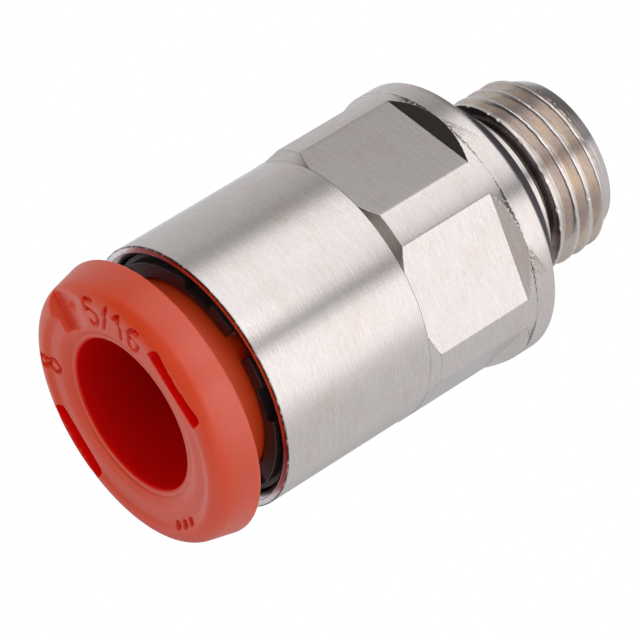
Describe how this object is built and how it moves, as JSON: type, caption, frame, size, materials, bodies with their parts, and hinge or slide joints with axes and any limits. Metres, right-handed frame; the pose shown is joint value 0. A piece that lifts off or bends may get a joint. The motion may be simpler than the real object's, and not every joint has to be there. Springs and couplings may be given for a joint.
{
  "type": "push-to-connect fitting",
  "caption": "Straight push-to-connect fitting: press-in release sleeve and tube socket at one end, hexagonal nickel-plated body, parallel male thread with an O-ring at the other.",
  "frame": {"origin": "on the fitting's axis, halfway between the release sleeve's face and the thread's end", "axes": "+Y runs along the axis from the tube end to the thread end, +Z is square to one wrench flat, +X completes the right-handed frame"},
  "size_m": [0.0152, 0.0284, 0.0152],
  "materials": {
    "nickel_plated_brass": "satin nickel plate over turned and milled brass",
    "orange_acetal": "smooth moulded, slightly translucent",
    "black_plastic": "moulded",
    "stainless_steel": "stamped",
    "natural_plastic": "moulded",
    "nitrile_rubber": "moulded"
  },
  "bodies": {
    "fitting_body": {"body": "nickel_plated_brass", "retaining_ring": "black_plastic", "support_ring": "natural_plastic", "tube_seal": "nitrile_rubber", "port_o_ring": "nitrile_rubber"},
    "gripper": {"grip_ring": "stainless_steel"},
    "sleeve": {"release_sleeve": "orange_acetal"}
  },
  "joints": [
    {"name": "gripper_turn", "type": "hinge", "parent": "fitting_body", "child": "gripper", "pos_m": [0, 0, 0], "axis": [0, 1, 0], "continuous": true},
    {"name": "sleeve_press", "type": "slide", "parent": "gripper", "child": "sleeve", "axis": [0, 1, 0], "range_m": [0, 0.0015]}
  ]
}
